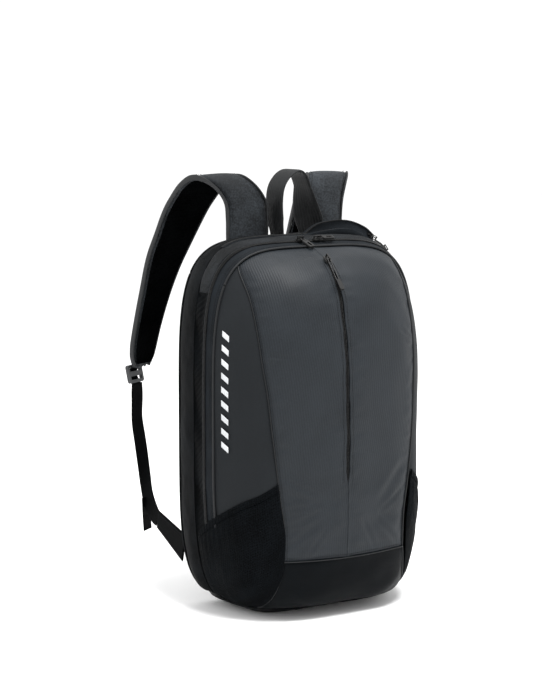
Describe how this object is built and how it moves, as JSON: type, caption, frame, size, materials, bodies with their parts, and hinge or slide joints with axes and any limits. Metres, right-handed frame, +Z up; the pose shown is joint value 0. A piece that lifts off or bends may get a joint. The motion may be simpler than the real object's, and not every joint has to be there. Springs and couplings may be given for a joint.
{
  "type": "racket backpack",
  "caption": "Upright sports backpack with a zipped front pouch, a rear racket compartment, mesh side pockets, a carry handle and padded shoulder straps.",
  "frame": {"origin": "on the flat resting face of the base, midway between the sides and under the main zip", "axes": "+X to the viewer's right, -Y towards the front pocket, +Y towards the wearer, +Z up"},
  "size_m": [0.33, 0.3689, 0.583],
  "materials": {
    "front_fabric": "woven polyester with a faint rib, slightly glossy",
    "side_fabric": "smooth matte coated polyester",
    "gusset_fabric": "matte woven polyester",
    "pleat_fabric": "pleated knit",
    "base_fabric": "coated tarpaulin, semi-gloss",
    "mesh": "stretch mesh",
    "back_fabric": "spacer mesh",
    "lining": "thin lining",
    "board": "polyethylene sheet",
    "webbing": "ribbed webbing",
    "zip_tape": "knitted tape",
    "zip_teeth": "nylon coil",
    "slider_metal": "black painted zinc",
    "puller_rubber": "moulded grip",
    "buckle_plastic": "acetal",
    "piping": "covered cord"
  },
  "bodies": {
    "pack": {"back_board": "board", "back_pad_left": "back_fabric", "back_pad_right": "back_fabric", "back_panel": "back_fabric", "base_band": "base_fabric", "base_board": "board", "base_panel": "base_fabric", "crown_gusset": "gusset_fabric", "divider_panel": "lining", "front_foot": "front_fabric", "main_zip_tape_rear": "zip_tape", "main_zip_teeth_rear": "zip_teeth", "mesh_pocket_left": "mesh", "mesh_pocket_right": "mesh", "mouth_lip_front": "zip_tape", "mouth_lip_rear": "zip_tape", "pleat_gusset_left": "pleat_fabric", "pleat_gusset_right": "pleat_fabric", "pocket_hem_left": "webbing", "pocket_hem_right": "webbing", "pocket_liner_foot": "lining", "rear_gusset_left": "gusset_fabric", "rear_gusset_right": "gusset_fabric", "side_foot_left": "side_fabric", "side_foot_right": "side_fabric", "strap_root_left": "gusset_fabric", "strap_root_right": "gusset_fabric"},
    "front_flap": {"front_panel_left": "front_fabric", "front_panel_right": "front_fabric", "side_panel_left": "side_fabric", "side_panel_right": "side_fabric", "front_zip_tape": "zip_tape", "front_zip_teeth": "zip_teeth", "pocket_liner": "lining", "main_zip_tape_front": "zip_tape", "main_zip_teeth_front": "zip_teeth", "flap_piping": "piping"},
    "main_slider_left": {"main_slider_left": "slider_metal"},
    "main_puller_left": {"main_puller_left": "puller_rubber"},
    "main_slider_right": {"main_slider_right": "slider_metal"},
    "main_puller_right": {"main_puller_right": "puller_rubber"},
    "racket_slider_inner": {"racket_slider_inner": "slider_metal"},
    "racket_puller_inner": {"racket_puller_inner": "puller_rubber"},
    "racket_slider_outer": {"racket_slider_outer": "slider_metal"},
    "racket_puller_outer": {"racket_puller_outer": "puller_rubber"},
    "front_slider": {"front_slider": "slider_metal"},
    "front_puller": {"front_puller": "puller_rubber"},
    "carry_handle": {"carry_handle": "webbing"},
    "strap_left": {"shoulder_strap_left": "gusset_fabric", "strap_mesh_left": "back_fabric", "ladder_lock_left": "buckle_plastic", "lower_webbing_left": "webbing", "wing_tab_left": "webbing"},
    "strap_right": {"shoulder_strap_right": "gusset_fabric", "strap_mesh_right": "back_fabric", "ladder_lock_right": "buckle_plastic", "lower_webbing_right": "webbing", "wing_tab_right": "webbing"},
    "webbing_tail_left": {"webbing_tail_left": "webbing"},
    "webbing_tail_right": {"webbing_tail_right": "webbing"}
  },
  "joints": [
    {"name": "flap_fold", "type": "hinge", "parent": "pack", "child": "front_flap", "pos_m": [0, -0.088, 0.188], "axis": [1, 0, 0], "range_deg": [0, 45]},
    {"name": "main_slider_left_run", "type": "slide", "parent": "front_flap", "child": "main_slider_left", "axis": [-1, 0, 0], "range_m": [0, 0.06]},
    {"name": "main_slider_right_run", "type": "slide", "parent": "front_flap", "child": "main_slider_right", "axis": [1, 0, 0], "range_m": [0, 0.06]},
    {"name": "main_puller_left_lift", "type": "hinge", "parent": "main_slider_left", "child": "main_puller_left", "pos_m": [-0.016, 0.01612, 0.49568], "axis": [-0.9755, -0.2074, -0.0729], "range_deg": [0, 30]},
    {"name": "main_puller_right_lift", "type": "hinge", "parent": "main_slider_right", "child": "main_puller_right", "pos_m": [0.01, 0.01612, 0.49568], "axis": [-0.0851, -0.9404, -0.3292], "range_deg": [0, 140]},
    {"name": "racket_slider_inner_run", "type": "slide", "parent": "pack", "child": "racket_slider_inner", "axis": [-0.886, -0.1287, 0.4455], "range_m": [0, 0.006]},
    {"name": "racket_slider_outer_run", "type": "slide", "parent": "pack", "child": "racket_slider_outer", "axis": [0.6598, 0.215, -0.72], "range_m": [0, 0.008]},
    {"name": "racket_puller_inner_lift", "type": "hinge", "parent": "racket_slider_inner", "child": "racket_puller_inner", "pos_m": [0.12064, 0.0426, 0.49014], "axis": [0.886, 0.1287, -0.4455], "range_deg": [0, 36]},
    {"name": "racket_puller_outer_lift", "type": "hinge", "parent": "racket_slider_outer", "child": "racket_puller_outer", "pos_m": [0.14028, 0.04292, 0.47419], "axis": [0.6598, 0.215, -0.72], "range_deg": [0, 36]},
    {"name": "front_slider_run", "type": "hinge", "parent": "front_flap", "child": "front_slider", "pos_m": [-0.008, 0.0373, 0.3763], "axis": [1, 0, 0], "range_deg": [0, 30]},
    {"name": "front_puller_lift", "type": "hinge", "parent": "front_slider", "child": "front_puller", "pos_m": [-0.008, -0.03837, 0.47315], "axis": [-1, 0, 0], "range_deg": [0, 110]},
    {"name": "handle_fold", "type": "hinge", "parent": "pack", "child": "carry_handle", "pos_m": [0.0115, 0.086, 0.5015], "axis": [1, 0, 0], "range_deg": [-12, 32]},
    {"name": "strap_left_swing", "type": "hinge", "parent": "pack", "child": "strap_left", "pos_m": [-0.152, 0.0935, 0.076], "axis": [0.2244, 0.0077, 0.9745], "range_deg": [-20, 20]},
    {"name": "strap_right_swing", "type": "hinge", "parent": "pack", "child": "strap_right", "pos_m": [0.152, 0.0935, 0.076], "axis": [0.182, -0.0078, -0.9833], "range_deg": [-20, 20]},
    {"name": "tail_left_swing", "type": "hinge", "parent": "strap_left", "child": "webbing_tail_left", "pos_m": [-0.146, 0.2145, 0.125], "axis": [1, 0, 0], "range_deg": [0, 28]},
    {"name": "tail_right_swing", "type": "hinge", "parent": "strap_right", "child": "webbing_tail_right", "pos_m": [0.146, 0.2145, 0.125], "axis": [1, 0, 0], "range_deg": [0, 28]}
  ]
}
